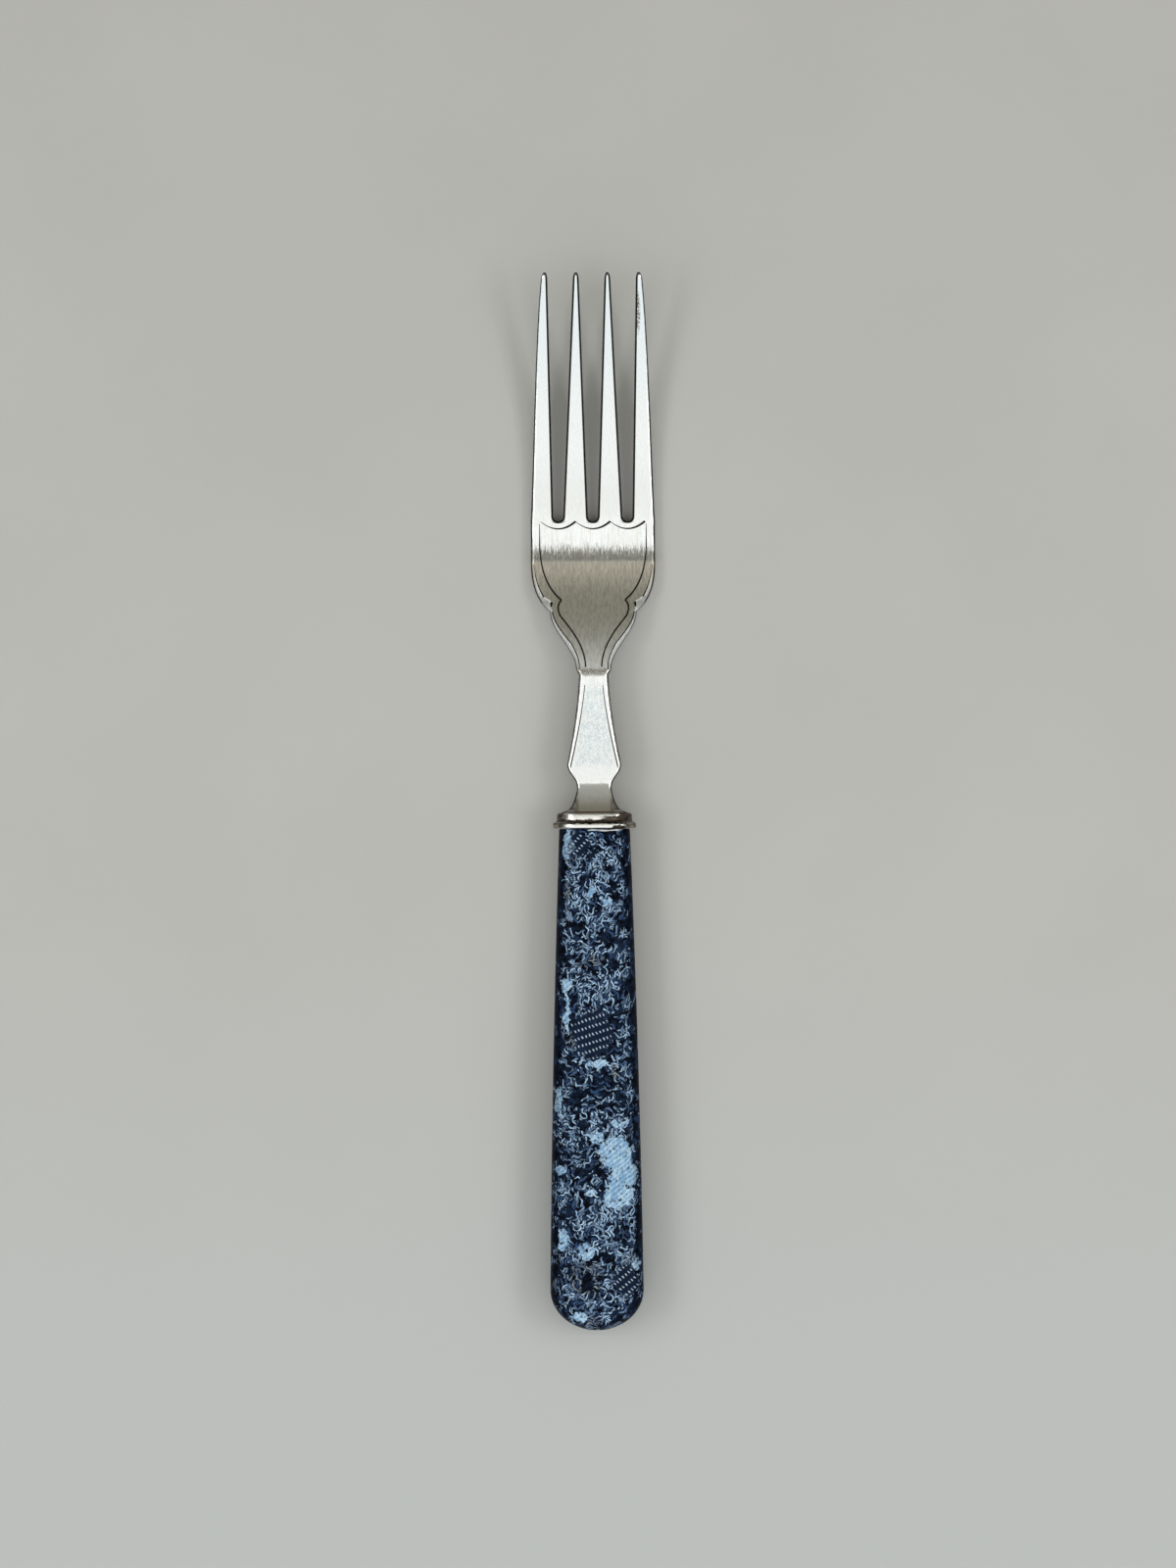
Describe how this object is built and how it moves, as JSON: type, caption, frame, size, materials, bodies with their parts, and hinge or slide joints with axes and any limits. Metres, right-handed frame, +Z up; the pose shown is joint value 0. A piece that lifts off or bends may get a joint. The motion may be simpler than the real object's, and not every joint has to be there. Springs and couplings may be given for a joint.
{
  "type": "fork",
  "caption": "Table fork with a forged metal head of slender tines, a shaped neck, a ferrule and a tapered dark blue composite handle, lying face up.",
  "frame": {"origin": "on the table, under the middle of the fork's length and width as it lies face up", "axes": "+Y along the fork from the butt to the tips, +X across the tines, +Z up out of the face"},
  "size_m": [0.0222, 0.188, 0.0122],
  "materials": {
    "head_metal": "satin silver-white metal brushed along the fork, with dark tarnish in the engraved lines",
    "ferrule_metal": "bright worn metal with brown-black tarnish on the side that faces the bolster",
    "handle_composite": "satin resin over pressed scraps of indigo denim, with pale blue fibres, patches and twill",
    "cement": "cured off-white adhesive, matt"
  },
  "bodies": {
    "root": {"fork_head": "head_metal", "ferrule": "ferrule_metal", "handle": "handle_composite", "tang_cement": "cement"}
  },
  "joints": []
}
